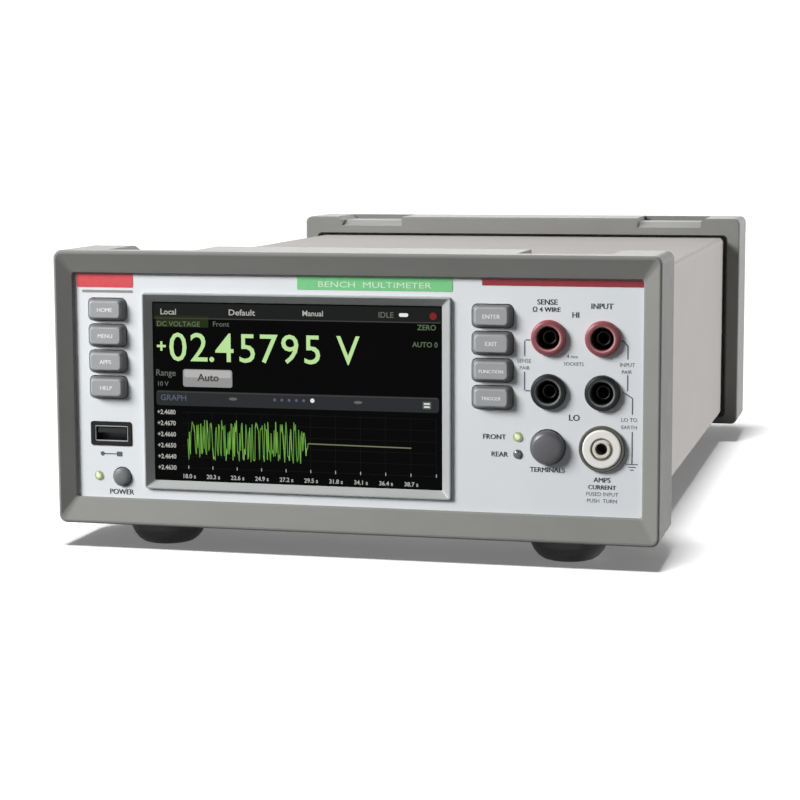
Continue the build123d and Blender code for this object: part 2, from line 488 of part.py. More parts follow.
# -------------------------------------------------------------------- inside
MB = 30.0                # main board height above the floor
MB_Y = (-138.0, 118.0)
stand = []
for x, y in ((-92, -128), (92, -128), (-92, 0), (92, 0), (30, 108), (92, 108)):
    p = Pos(x, y, TZ0 + SHEET + 0.02) * Cylinder(3.2, MB - 0.02 - (TZ0 + SHEET + 0.02), align=(Align.CENTER, Align.CENTER, Align.MIN))
    p += Pos(x, y, MB - 0.1) * Cylinder(1.4, 2.6, align=(Align.CENTER, Align.CENTER, Align.MIN))
    stand.append(p)
save("board_standoffs", *stand)
mb = bx(-97.5, 97.5, *MB_Y, MB, MB + 1.6)
mb -= bx(-98.0, 20.0, 56.0, 120.0, MB - 1, MB + 3)   # clear corner for the transformer
for x, y in ((-92, -128), (92, -128), (-92, 0), (92, 0), (30, 108), (92, 108)):
    mb -= Pos(x, y, MB - 1) * Cylinder(1.6, 5, align=(Align.CENTER, Align.CENTER, Align.MIN))
for x, y, w, d, h in ((-60, -90, 26, 26, 3.0), (-20, -95, 18, 14, 2.2), (-62, -40, 22, 14, 2.6), (-30, -30, 12, 12, 2.0), (-70, 20, 14, 30, 9.0), (-35, 25, 20, 16, 12.0), (40, 90, 30, 14, 10.0)):
    mb += bx(x - w / 2, x + w / 2, y - d / 2, y + d / 2, MB + 1.5, MB + 1.6 + h)
for x, y in ((-50, 45), (-36, 45), (60, 84), (76, 84)):
    mb += Pos(x, y, MB + 1.5) * Cylinder(5.5, 20, align=(Align.CENTER, Align.CENTER, Align.MIN))
save("main_board", mb)
sh = bx(10, 90, -120, 70, MB + 1.62, MB + 26) - bx(11, 89, -119, 69, MB + 1, MB + 25)
sh = soft(sh, edges_at(sh, "z", MB + 26), 0.8)
save("measurement_shield", sh)

TX, TY = -40.0, 98.0    # toroidal mains transformer
tz = TZ0 + SHEET + 0.1
tw = Pos(TX, TY, tz + 19) * Cylinder(38, 37)
tw = soft(tw, tw.edges(), 8.0)
tw -= Pos(TX, TY, tz + 19) * Cylinder(10.5, 60)
save("power_transformer", tw)
dish = Pos(TX, TY, tz + 37.7) * Cylinder(22, 1.6, align=(Align.CENTER, Align.CENTER, Align.MIN))
dish += Pos(TX, TY, tz) * Cylinder(3.0, 44, align=(Align.CENTER, Align.CENTER, Align.MIN))
dish += Pos(TX, TY, tz + 39.2) * extrude(RegularPolygon(6.2, 6), amount=4)
save("transformer_clamp", dish)

print("parts written:", len(os.listdir("parts")))
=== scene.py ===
import json
import math
import random

import bmesh
import bpy
from mathutils import Matrix, Vector

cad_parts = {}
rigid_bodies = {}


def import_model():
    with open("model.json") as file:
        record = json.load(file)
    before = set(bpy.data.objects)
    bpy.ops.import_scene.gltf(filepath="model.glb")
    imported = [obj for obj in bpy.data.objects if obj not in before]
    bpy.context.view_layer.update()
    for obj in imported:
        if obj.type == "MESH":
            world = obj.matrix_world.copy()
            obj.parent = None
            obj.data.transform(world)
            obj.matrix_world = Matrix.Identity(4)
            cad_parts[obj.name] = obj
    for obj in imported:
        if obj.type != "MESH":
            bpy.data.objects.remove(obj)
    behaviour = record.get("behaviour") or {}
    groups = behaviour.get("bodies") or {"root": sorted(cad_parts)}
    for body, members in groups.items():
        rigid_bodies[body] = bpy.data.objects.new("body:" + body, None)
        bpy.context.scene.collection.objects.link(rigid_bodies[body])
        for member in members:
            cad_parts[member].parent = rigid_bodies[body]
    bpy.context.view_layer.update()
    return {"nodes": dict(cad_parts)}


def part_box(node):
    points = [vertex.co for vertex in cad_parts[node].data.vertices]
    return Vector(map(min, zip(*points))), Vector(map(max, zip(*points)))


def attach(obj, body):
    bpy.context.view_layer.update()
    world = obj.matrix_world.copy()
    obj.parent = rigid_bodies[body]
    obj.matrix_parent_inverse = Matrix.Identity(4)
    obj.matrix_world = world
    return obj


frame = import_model()
N = frame["nodes"]
MM = 0.001
DG = lambda: bpy.context.evaluated_depsgraph_get()


# ------------------------------------------------------------------ materials
def lin(c):
    """sRGB 0-255 to linear, with alpha."""
    out = []
    for v in c[:3]:
        v = v / 255.0
        out.append(v / 12.92 if v <= 0.04045 else ((v + 0.055) / 1.055) ** 2.4)
    return (*out, 1.0)


def material(name, color, rough=0.5, metal=0.0, vary=0.06, vary_mm=14.0, grain=0.0, grain_mm=0.35, rough_vary=0.06,
             coat=0.0, spec=None, edge=0.0, emit=None, emit_strength=0.0, stretch=(1, 1, 1), dust=0.0, transmission=0.0, ior=None, radial=None, painted_shade=None):
    """Principled material with colour mottling, roughness variation, moulded or brushed grain and lighter worn edges."""
    m = bpy.data.materials.new(name)
    m.use_nodes = True
    nt = m.node_tree
    nt.nodes.clear()
    out = nt.nodes.new("ShaderNodeOutputMaterial")
    b = nt.nodes.new("ShaderNodeBsdfPrincipled")
    nt.links.new(b.outputs[0], out.inputs[0])
    tc = nt.nodes.new("ShaderNodeTexCoord")
    mp = nt.nodes.new("ShaderNodeMapping")
    mp.inputs["Scale"].default_value = [1000.0 * s for s in stretch]
    nt.links.new(tc.outputs["Object"], mp.inputs["Vector"])
    n1 = nt.nodes.new("ShaderNodeTexNoise")
    n1.inputs["Scale"].default_value = 1.0 / vary_mm
    n1.inputs["Detail"].default_value = 5.0
    n1.inputs["Roughness"].default_value = 0.6
    nt.links.new(mp.outputs[0], n1.inputs["Vector"])
    ramp = nt.nodes.new("ShaderNodeValToRGB")
    c = lin(color)
    lo = [max(0.0, v * (1 - vary)) for v in c[:3]] + [1]
    hi = [min(1.0, v * (1 + vary)) for v in c[:3]] + [1]
    ramp.color_ramp.elements[0].position = 0.3
    ramp.color_ramp.elements[0].color = lo
    ramp.color_ramp.elements[1].position = 0.7
    ramp.color_ramp.elements[1].color = hi
    nt.links.new(n1.outputs["Fac"], ramp.inputs["Fac"])
    col = ramp.outputs["Color"]
    if radial or painted_shade:
        sep = nt.nodes.new("ShaderNodeSeparateXYZ")
        nt.links.new(tc.outputs["Object"], sep.inputs[0])
    if radial:
        # turned part: colour changes with the distance from its own axis, stops in mm; the sockets use it for a painted
        # highlight ring and painted shade in the bore
        cx, cz, stops = radial
        grey = nt.nodes.new("ShaderNodeValToRGB")
        grey.color_ramp.elements[0].position = 0.3
        grey.color_ramp.elements[0].color = (1 - vary, 1 - vary, 1 - vary, 1)
        grey.color_ramp.elements[1].position = 0.7
        grey.color_ramp.elements[1].color = (1, 1, 1, 1)
        nt.links.new(n1.outputs["Fac"], grey.inputs["Fac"])
        vec = nt.nodes.new("ShaderNodeCombineXYZ")
        for k, (axis, c0) in enumerate(((0, cx), (2, cz))):
            sub = nt.nodes.new("ShaderNodeMath")
            sub.operation = "SUBTRACT"
            sub.inputs[1].default_value = c0
            nt.links.new(sep.outputs[axis], sub.inputs[0])
            nt.links.new(sub.outputs[0], vec.inputs[k])
        ln = nt.nodes.new("ShaderNodeVectorMath")
        ln.operation = "LENGTH"
        nt.links.new(vec.outputs[0], ln.inputs[0])
        r_max = stops[-1][0]
        rm = nt.nodes.new("ShaderNodeMapRange")
        rm.inputs["From Max"].default_value = r_max * MM
        nt.links.new(ln.outputs["Value"], rm.inputs["Value"])
        rr = nt.nodes.new("ShaderNodeValToRGB")
        while len(rr.color_ramp.elements) < len(stops):
            rr.color_ramp.elements.new(0.5)
        for el, (rad, sc) in zip(rr.color_ramp.elements, stops):
            el.position = rad / r_max
        for el, (rad, sc) in zip(rr.color_ramp.elements, stops):
            el.color = lin(sc)
        nt.links.new(rm.outputs[0], rr.inputs["Fac"])
        mu = nt.nodes.new("ShaderNodeMixRGB")
        mu.blend_type = "MULTIPLY"
        mu.inputs["Fac"].default_value = 1.0
        nt.links.new(rr.outputs["Color"], mu.inputs["Color1"])
        nt.links.new(grey.outputs["Color"], mu.inputs["Color2"])
        col = mu.outputs["Color"]
    if painted_shade:
        # painted shade: darker from y0 to y1 (mm), down to the given share, standing in for the shade in a recess or
        # along a key's sides
        dy0, dy1, share = painted_shade
        dm = nt.nodes.new("ShaderNodeMapRange")
        dm.inputs["From Min"].default_value = dy0 * MM
        dm.inputs["From Max"].default_value = dy1 * MM
        dm.inputs["To Min"].default_value = 1.0
        dm.inputs["To Max"].default_value = share
        nt.links.new(sep.outputs[1], dm.inputs["Value"])
        mu = nt.nodes.new("ShaderNodeMixRGB")
        mu.blend_type = "MULTIPLY"
        mu.inputs["Fac"].default_value = 1.0
        nt.links.new(col, mu.inputs["Color1"])
        nt.links.new(dm.outputs[0], mu.inputs["Color2"])
        col = mu.outputs["Color"]
    if edge > 0:
        geo = nt.nodes.new("ShaderNodeNewGeometry")
        er = nt.nodes.new("ShaderNodeValToRGB")
        er.color_ramp.elements[0].position = 0.50
        er.color_ramp.elements[0].color = (0, 0, 0, 1)
        er.color_ramp.elements[1].position = 0.62
        er.color_ramp.elements[1].color = (edge, edge, edge, 1)
        nt.links.new(geo.outputs["Pointiness"], er.inputs["Fac"])
        mx = nt.nodes.new("ShaderNodeMixRGB")
        mx.blend_type = "MIX"
        mx.inputs["Color2"].default_value = [min(1, v * 1.5 + 0.05) for v in c[:3]] + [1]
        nt.links.new(er.outputs["Color"], mx.inputs["Fac"])
        nt.links.new(col, mx.inputs["Color1"])
        col = mx.outputs["Color"]
    nt.links.new(col, b.inputs["Base Color"])
    # roughness
    n2 = nt.nodes.new("ShaderNodeTexNoise")
    n2.inputs["Scale"].default_value = 1.0 / (vary_mm * 0.35)
    n2.inputs["Detail"].default_value = 3.0
    nt.links.new(mp.outputs[0], n2.inputs["Vector"])
    mr = nt.nodes.new("ShaderNodeMapRange")
    mr.inputs["To Min"].default_value = max(0.02, rough - rough_vary)
    mr.inputs["To Max"].default_value = min(1.0, rough + rough_vary)
    nt.links.new(n2.outputs["Fac"], mr.inputs["Value"])
    nt.links.new(mr.outputs[0], b.inputs["Roughness"])
    b.inputs["Metallic"].default_value = metal
    if spec is not None:
        b.inputs["Specular IOR Level"].default_value = spec
    if ior:
        b.inputs["IOR"].default_value = ior
    if transmission:
        b.inputs["Transmission Weight"].default_value = transmission
    if coat:
        b.inputs["Coat Weight"].default_value = coat
        b.inputs["Coat Roughness"].default_value = 0.08
    if grain > 0:
        n3 = nt.nodes.new("ShaderNodeTexNoise")
        n3.inputs["Scale"].default_value = 1.0 / grain_mm
        n3.inputs["Detail"].default_value = 2.0
        nt.links.new(mp.outputs[0], n3.inputs["Vector"])
        bp = nt.nodes.new("ShaderNodeBump")
        bp.inputs["Strength"].default_value = min(1.0, grain)
        bp.inputs["Distance"].default_value = grain_mm * 0.25 * MM
        nt.links.new(n3.outputs["Fac"], bp.inputs["Height"])
        nt.links.new(bp.outputs[0], b.inputs["Normal"])
    if emit:
        # brightness varies a little from place to place, as backlit print does
        e = nt.nodes.new("ShaderNodeValToRGB")
        ec = lin(emit)
        e.color_ramp.elements[0].position = 0.3
        e.color_ramp.elements[0].color = [v * 0.93 for v in ec[:3]] + [1]
        e.color_ramp.elements[1].position = 0.7
        e.color_ramp.elements[1].color = ec
        nt.links.new(n1.outputs["Fac"], e.inputs["Fac"])
        nt.links.new(e.outputs["Color"], b.inputs["Emission Color"])
        b.inputs["Emission Strength"].default_value = emit_strength
    m.diffuse_color = c
    return m


RUBBER = material("bumper_rubber", (136, 136, 133), rough=0.45, vary=0.03, vary_mm=22, grain=0.25, grain_mm=0.4, edge=0.04, spec=0.16)
FOOT = material("foot_rubber", (92, 92, 94), rough=0.6, vary=0.12, vary_mm=8, grain=0.4, grain_mm=0.4, edge=0.1)
PAINT = material("case_paint", (196, 192, 189), rough=0.65, vary=0.018, vary_mm=40, grain=0.22, grain_mm=0.5, spec=0.1)
PANEL = material("panel_plastic", (233, 237, 240), rough=0.48, vary=0.015, vary_mm=25, grain=0.16, grain_mm=0.3, spec=0.4)
BEZEL = material("bezel_plastic", (170, 172, 172), rough=0.38, vary=0.03, vary_mm=12, grain=0.12, grain_mm=0.25)
GLASS = material("screen_glass", (3, 3, 4), rough=0.10, rough_vary=0.03, vary=0.3, vary_mm=30, spec=0.03)
LCD = material("lcd_frame", (30, 30, 33), rough=0.6, vary=0.1)
PCB = material("solder_mask", (14, 74, 44), rough=0.35, vary=0.25, vary_mm=3.0, grain=0.3, grain_mm=0.8, coat=0.3)
SILICONE = material("silicone", (205, 205, 198), rough=0.5, vary=0.04, grain=0.1)
KEY = material("key_rubber", (158, 160, 161), rough=0.5, vary=0.03, vary_mm=5, grain=0.2, grain_mm=0.22, edge=0.05)
BUTTON = material("button_grey", (88, 88, 92), rough=0.36, vary=0.04, vary_mm=5, grain=0.1, grain_mm=0.2)
POWER = material("power_grey", (108, 109, 110), rough=0.4, vary=0.04, vary_mm=4, grain=0.1, grain_mm=0.2)

DARK_LENS = material("dark_lens", (88, 92, 90), rough=0.22, vary=0.08, vary_mm=1.0, coat=0.4)
BLACK = material("black_plastic", (17, 17, 19), spec=0.2, rough=0.45, vary=0.12, vary_mm=6, grain=0.15, grain_mm=0.25)
RED = material("red_jack", (150, 66, 74), rough=0.42, vary=0.05, vary_mm=4, grain=0.1, grain_mm=0.2)
JBLACK = material("black_jack", (44, 47, 48), rough=0.36, vary=0.08, vary_mm=4, grain=0.1, grain_mm=0.2, edge=0.15)
BRASS = material("nickel_brass", (190, 160, 92), rough=0.28, metal=1.0, vary=0.06, vary_mm=2.0, grain=0.2, grain_mm=0.15, stretch=(1, 8, 1))
# painted shade: the front socket contacts are coloured near black, darker than their metal, to stand in for the shade
# deep in the sockets
SHADED_CONTACT = material("contact_painted_shade", (34, 32, 30), rough=0.5, metal=0.6, vary=0.1, vary_mm=2.0, grain=0.2, grain_mm=0.15)
STEEL = material("screw_steel", (165, 166, 168), rough=0.32, metal=1.0, vary=0.06, vary_mm=3.0, grain=0.2, grain_mm=0.2)
NICKEL = material("nickel_plate", (188, 188, 186), rough=0.2, metal=1.0, vary=0.05, vary_mm=5.0, grain=0.08, grain_mm=0.4)
ZINC = material("zinc_sheet", (176, 178, 178), rough=0.38, metal=0.9, vary=0.10, vary_mm=9.0, grain=0.12, grain_mm=0.5, rough_vary=0.1)
WHITE = material("carrier_white", (246, 243, 234), rough=0.3, vary=0.02, vary_mm=4, grain=0.05, grain_mm=0.3)
HOLDER = material("holder_grey", (84, 84, 76), rough=0.4, vary=0.05, vary_mm=4, grain=0.1, grain_mm=0.2)
CERAMIC = material("fuse_body", (222, 216, 200), rough=0.25, vary=0.04, vary_mm=2)
WINDING = material("winding_tape", (196, 166, 62), rough=0.3, vary=0.12, vary_mm=2.2, grain=0.5, grain_mm=1.4, stretch=(1, 1, 0.15), coat=0.3)
INK = material("print_ink", (34, 36, 40), rough=0.55, vary=0.06, vary_mm=0.6)
INK_SOFT = material("print_ink_soft", (84, 88, 98), rough=0.55, vary=0.06, vary_mm=0.6)
KEY_INK = material("key_ink", (236, 238, 238), rough=0.5, vary=0.03, vary_mm=0.6)
LABEL_RED = material("label_red", (214, 72, 80), rough=0.42, vary=0.05, vary_mm=2.5)
LABEL_GREEN = material("label_green", (120, 204, 136), rough=0.42, vary=0.05, vary_mm=2.5)
LABEL_MAROON = material("label_maroon", (142, 28, 40), rough=0.42, vary=0.08, vary_mm=2.5)
LABEL_LINE = material("label_line", (150, 140, 136), rough=0.5, vary=0.05, vary_mm=2.5)
LABEL_TEXT = material("label_text", (214, 240, 218), rough=0.5, vary=0.03, vary_mm=2.5)


def screen_mat(name, c, strength=1.0):
    return material(name, (6, 6, 6), rough=0.5, spec=0.03, vary=0.1, vary_mm=0.27, emit=c, emit_strength=strength)


S_DIGIT = screen_mat("screen_digits", (188, 228, 156))
S_WHITE = screen_mat("screen_white", (178, 178, 172))
S_GREEN = screen_mat("screen_green_text", (92, 112, 84))
S_DIM = screen_mat("screen_dim", (98, 104, 94))
S_BAR = screen_mat("screen_bar", (43, 44, 47))
S_STATUS = screen_mat("screen_status", (26, 27, 27))
S_LINE = screen_mat("screen_rule", (62, 62, 60))
S_BUTTON = screen_mat("screen_button", (150, 149, 149))
S_BUTTON_TOP = screen_mat("screen_button_top", (182, 180, 179))
S_BUTTON_TEXT = screen_mat("screen_button_text", (72, 74, 74))
S_BLUE = screen_mat("screen_blue_text", (84, 96, 110))
S_GRAPH = screen_mat("screen_graph", (96, 150, 58))
S_GRAPH_HI = screen_mat("screen_graph_hi", (128, 186, 86))
S_FLAT = screen_mat("screen_flat_line", (112, 126, 92))
S_GRID = screen_mat("screen_grid", (20, 21, 20))
S_RED = screen_mat("screen_red", (128, 36, 34))
S_BRIGHT = screen_mat("screen_bright", (232, 236, 232))
S_GREENBAND = screen_mat("screen_green_band", (34, 44, 16))

NODE_MATERIAL = {
    "front_bumper": RUBBER, "rear_bumper": RUBBER, "rubber_feet": FOOT, "case_cover": PAINT, "chassis_tray": ZINC, "rear_panel": ZINC,
    "front_subframe": ZINC, "front_panel": PANEL, "display_bezel": BEZEL, "touch_glass": GLASS, "lcd_module": LCD, "front_board": PCB,
    "main_board": PCB, "keypad_membranes": SILICONE, "power_button": POWER, "terminals_button": BUTTON, "terminals_pushrod": BLACK,
    "terminals_switch": BLACK,  "rear_terminals_light": DARK_LENS, "usb_host_surround": BLACK,
     "usb_device_port": NICKEL, "lan_port": NICKEL,  "rear_hi_jacks": RED, "rear_lo_jacks": JBLACK, "jack_contacts": SHADED_CONTACT, "rear_jack_contacts": BRASS,
    "jack_nuts": NICKEL, "amps_holder": HOLDER, "amps_holder_nut": NICKEL,  "amps_fuse": CERAMIC, "line_fuse": CERAMIC,
    "foot_screws": STEEL, "slot_screws": STEEL, "ground_screw": STEEL, "board_standoffs": NICKEL, "power_inlet": BLACK, "inlet_pins": NICKEL,
    "line_fuse_drawer": BLACK, "trigger_connectors": NICKEL, "trigger_cores": WHITE, "option_slot_cover": ZINC, "measurement_shield": STEEL,
    "power_transformer": WINDING, "transformer_clamp": STEEL,
}


def centre(node):
    lo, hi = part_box(node)
    return (lo[0] + hi[0]) / 2, (lo[2] + hi[2]) / 2


# painted highlight: the light ring at 4.4 mm stands in for light on the socket's lip; painted shade: the near-black
# centre inside 3.9 mm stands in for the shade in the bore
for node in ("sense_hi_jack", "input_hi_jack"):
    NODE_MATERIAL[node] = material("red_" + node, (150, 66, 74), rough=0.42, vary=0.06, vary_mm=4, grain=0.1, grain_mm=0.2, radial=(
        *centre(node), [(0.0, (12, 9, 9)), (3.9, (18, 12, 12)), (4.05, (120, 62, 66)), (4.4, (196, 144, 144)), (4.75, (132, 66, 72)), (5.2, (136, 62, 70)), (6.4, (150, 70, 78))]))
# painted highlight: the grey ring at 4.4 mm stands in for light on the socket's lip; painted shade: the near-black
# centre inside 3.9 mm stands in for the shade in the bore
for node in ("sense_lo_jack", "input_lo_jack"):
    NODE_MATERIAL[node] = material("black_" + node, (60, 62, 62), rough=0.5, vary=0.06, vary_mm=4, grain=0.1, grain_mm=0.2, spec=0.25, radial=(
        *centre(node), [(0.0, (8, 8, 9)), (3.9, (12, 12, 13)), (4.05, (60, 62, 62)), (4.4, (128, 130, 130)), (4.75, (40, 42, 42)), (5.2, (15, 16, 16)), (6.4, (20, 21, 22))]))
NODE_MATERIAL["amps_fuse_carrier"] = material("carrier_face", (246, 243, 234), rough=0.35, vary=0.02, vary_mm=3, grain=0.05, grain_mm=0.3, radial=(
    *centre("amps_fuse_carrier"), [(0.0, (14, 13, 12)), (1.9, (20, 19, 17)), (2.15, (214, 210, 198)), (3.3, (236, 233, 224)), (3.5, (120, 116, 100)), (3.95, (132, 128, 112)),
                                   (4.2, (246, 244, 238)), (6.6, (250, 248, 242)), (7.0, (222, 219, 208))]))
for node in ("power_light", "front_terminals_light"):
    NODE_MATERIAL[node] = material("lens_" + node, (196, 214, 150), rough=0.25, vary=0.05, vary_mm=1.2, emit=(132, 138, 108), emit_strength=0.8, radial=(
        *centre(node), [(0.0, (228, 236, 206)), (0.75, (222, 230, 196)), (1.0, (150, 162, 96)), (1.4, (128, 140, 80)), (1.8, (96, 104, 64))]))
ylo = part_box("usb_host_port")[0][1] / MM
# painted shade: the USB shell darkens to 5 % behind its mouth, standing in for the shade inside the port
NODE_MATERIAL["usb_host_port"] = material("usb_shell", (186, 188, 188), rough=0.3, metal=0.7, vary=0.05, vary_mm=3.0, grain=0.1, grain_mm=0.3, painted_shade=(ylo + 0.04, ylo + 0.45, 0.05))
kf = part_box("key_home")[0][1] / MM
# painted shade: the keys darken towards the panel, standing in for the shade on their sides
KEY = material("key_rubber", (160, 162, 163), rough=0.5, vary=0.03, vary_mm=5, grain=0.2, grain_mm=0.22, painted_shade=(kf + 0.25, kf + 1.3, 0.42))
for name, o in N.items():
    mat = KEY if name.startswith("key_") else NODE_MATERIAL[name]
    if len(o.material_slots) == 0:
        o.data.materials.append(mat)
    for s in o.material_slots:
        s.link = "OBJECT"
        s.material = mat


# --------------------------------------------------------------- mesh pieces
class Piece:
    """Collects closed shapes into one mesh object that rides on a body."""

    def __init__(self, name, mats, body="chassis"):
        self.name, self.mats, self.body = name, mats, body
        self.bm = bmesh.new()

    def slab(self, pts, y0, y1, mat=0):
        """Closed prism from an outline of (x, z) points in metres, seen from the front, between y0 and y1."""
        bm = self.bm
        a = [bm.verts.new((x, y0, z)) for x, z in pts]
        b = [bm.verts.new((x, y1, z)) for x, z in pts]
        n = len(pts)
        fs = [bm.faces.new(a), bm.faces.new(list(reversed(b)))]
        for i in range(n):
            j = (i + 1) % n
            fs.append(bm.faces.new((a[j], a[i], b[i], b[j])))
        for f in fs:
            f.material_index = mat
        return self

    def round_rect(self, x0, x1, z0, z1, r, y0, y1, mat=0, seg=5):
        pts = []
        r = min(r, abs(x1 - x0) / 2.01, abs(z1 - z0) / 2.01)
        for cx, cz, a0 in ((x1 - r, z0 + r, -90), (x1 - r, z1 - r, 0), (x0 + r, z1 - r, 90), (x0 + r, z0 + r, 180)):
            for k in range(seg + 1):
                a = math.radians(a0 + 90 * k / seg)
                pts.append((cx + r * math.cos(a), cz + r * math.sin(a)))
        return self.slab(pts, y0, y1, mat)

    def stroke(self, p, q, w, y0, y1, mat=0):
        """Straight stroke of width w from p to q with pointed round ends."""
        d = Vector((q[0] - p[0], q[1] - p[1]))
        if d.length < 1e-9:
            return self
        d.normalize()
        nrm = Vector((-d.y, d.x)) * (w / 2)
        e = d * (w / 2)
        pts = [(p[0] - nrm.x, p[1] - nrm.y), (q[0] - nrm.x, q[1] - nrm.y), (q[0] + e.x * 0.7, q[1] + e.y * 0.7), (q[0] + nrm.x, q[1] + nrm.y),
               (p[0] + nrm.x, p[1] + nrm.y), (p[0] - e.x * 0.7, p[1] - e.y * 0.7)]
        return self.slab(pts, y0, y1, mat)

    def disc(self, x, z, rx, rz, y0, y1, mat=0, seg=20):
        return self.slab([(x + rx * math.cos(2 * math.pi * k / seg), z + rz * math.sin(2 * math.pi * k / seg)) for k in range(seg)], y0, y1, mat)

    def text(self, body, x, z, size, y0, y1, mat=0, align="CENTER", bold=0.0, width=1.0, face=-1):
        """Raised lettering: cap height about 0.73 of size, baseline at z. face -1 reads from the front, +1 from the rear."""
        cu = bpy.data.curves.new("tmp_text", "FONT")
        cu.body = body
        cu.size = size
        cu.align_x = align
        cu.resolution_u = 3
        cu.offset = bold
        cu.extrude = abs(y1 - y0) / 2
        ob = bpy.data.objects.new("tmp_text", cu)
        bpy.context.scene.collection.objects.link(ob)
        dg = DG()
        dg.update()
        me = bpy.data.meshes.new_from_object(ob.evaluated_get(dg))
        tmp = bmesh.new()
        tmp.from_mesh(me)
        bmesh.ops.remove_doubles(tmp, verts=tmp.verts, dist=1e-7)
        ym = (y0 + y1) / 2
        base = len(self.bm.verts)
        vmap = {}
        for v in tmp.verts:
            vmap[v.index] = self.bm.verts.new((x + face * -1 * v.co.x * width, ym + face * v.co.z, z + v.co.y))
        for f in tmp.faces:
            try:
                nf = self.bm.faces.new([vmap[v.index] for v in f.verts])
                nf.material_index = mat
            except ValueError:
                pass
        tmp.free()
        bpy.data.meshes.remove(me)
        bpy.data.objects.remove(ob)
        bpy.data.curves.remove(cu)
        return self

    def heavy(self, body, x, z, size, y0, y1, weight=0.16 * MM, **kw):
        """Lettering printed in a heavier weight: three close strikes, each a hair prouder."""
        for k in (-1, 0, 1):
            self.text(body, x + k * weight / 2, z, size, y0 - (k + 1) * 2e-6, y1, **kw)
        return self

    def make(self):
        bm = self.bm
        bmesh.ops.recalc_face_normals(bm, faces=bm.faces)
        me = bpy.data.meshes.new(self.name)
        bm.to_mesh(me)
        bm.free()
        ob = bpy.data.objects.new(self.name, me)
        for m in self.mats:
            me.materials.append(m)
        bpy.context.scene.collection.objects.link(ob)
        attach(ob, self.body)
        return ob


panel_lo, panel_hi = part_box("front_panel")
YP = panel_lo[1]                                   # face of the front panel
INK_Y = (YP - 0.00006, YP + 0.00002)


def jack_xz(node):
    lo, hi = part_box(node)
    return (lo[0] + hi[0]) / 2, (lo[2] + hi[2]) / 2


# ------------------------------------------------------------- front printing
p = Piece("panel_legends", [INK])
sx, sz = jack_xz("sense_hi_jack")
ix, iz = jack_xz("input_hi_jack")
lx, lz = jack_xz("input_lo_jack")
ax, az = jack_xz("amps_holder")
tx, tz = jack_xz("terminals_button")
fx, fz = jack_xz("front_terminals_light")
rx, rz = jack_xz("rear_terminals_light")
bx_, bz_ = jack_xz("power_button")
mid = (sx + ix) / 2
p.heavy("SENSE", sx - 0.6 * MM, iz + 11.6 * MM, 2.7 * MM, *INK_Y)
p.heavy("Ω 4 WIRE", sx - 0.9 * MM, iz + 9.1 * MM, 2.35 * MM, *INK_Y)
p.heavy("INPUT", ix - 0.4 * MM, iz + 10.4 * MM, 2.75 * MM, *INK_Y)
p.heavy("HI", mid - 0.1 * MM, iz + 7.2 * MM, 2.8 * MM, *INK_Y)
p.heavy("LO", mid - 0.4 * MM, lz - 10.0 * MM, 3.1 * MM, *INK_Y)
p.heavy("TERMINALS", tx - 0.1 * MM, tz - 8.9 * MM, 2.45 * MM, *INK_Y)
p.heavy("FRONT", fx - 4.3 * MM, fz - 1.0 * MM, 2.55 * MM, *INK_Y, align="RIGHT")
p.heavy("REAR", rx - 3.6 * MM, rz - 1.0 * MM, 2.55 * MM, *INK_Y, align="RIGHT")
p.heavy("AMPS", ax + 0.1 * MM, az - 11.9 * MM, 2.5 * MM, *INK_Y)
p.heavy("CURRENT", ax + 0.1 * MM, az - 14.4 * MM, 2.2 * MM, *INK_Y)
p.heavy("POWER", bx_ - 0.4 * MM, bz_ - 6.6 * MM, 2.75 * MM, *INK_Y)
p.make()

# lighter print: ratings, guide lines, earth mark, a plain plug mark
p = Piece("panel_fine_print", [INK_SOFT])
p.text("INPUT", ix + 8.6 * MM, iz - 9.6 * MM, 1.9 * MM, *INK_Y, bold=0.0)
p.text("PAIR", ix + 8.4 * MM, iz - 12.1 * MM, 1.8 * MM, *INK_Y, bold=0.0)
p.text("LO TO", lx + 9.4 * MM, lz - 9.8 * MM, 1.9 * MM, *INK_Y, bold=0.0)
p.text("EARTH", lx + 9.4 * MM, lz - 12.4 * MM, 1.8 * MM, *INK_Y, bold=0.0)
p.text("SENSE", sx - 8.8 * MM, iz - 8.9 * MM, 1.9 * MM, *INK_Y, bold=0.0)
p.text("PAIR", sx - 8.6 * MM, iz - 11.4 * MM, 1.8 * MM, *INK_Y, bold=0.0)
p.text("4 mm", mid - 1.2 * MM, iz - 7.0 * MM, 1.7 * MM, *INK_Y, bold=0.0)
p.text("SOCKETS", mid - 0.7 * MM, iz - 9.6 * MM, 1.7 * MM, *INK_Y, bold=0.0)
p.text("FUSED INPUT", ax + 0.1 * MM, az - 16.7 * MM, 1.9 * MM, *INK_Y, bold=0.0)
p.text("PUSH  TURN", ax + 0.1 * MM, az - 19.1 * MM, 1.9 * MM, *INK_Y, bold=0.0)
w = 0.42 * MM
# bracket joining the two sense sockets
x0 = sx - 8.6 * MM
p.stroke((sx - 6.6 * MM, iz - 0.9 * MM), (x0 + 0.4 * MM, iz - 0.9 * MM), w, *INK_Y)
p.stroke((x0, iz - 1.2 * MM), (x0, iz - 6.5 * MM), w, *INK_Y)
p.stroke((x0, iz - 12.2 * MM), (x0, lz + 0.5 * MM), w, *INK_Y)
p.stroke((x0 + 0.4 * MM, lz + 0.2 * MM), (sx - 6.6 * MM, lz + 0.2 * MM), w, *INK_Y)
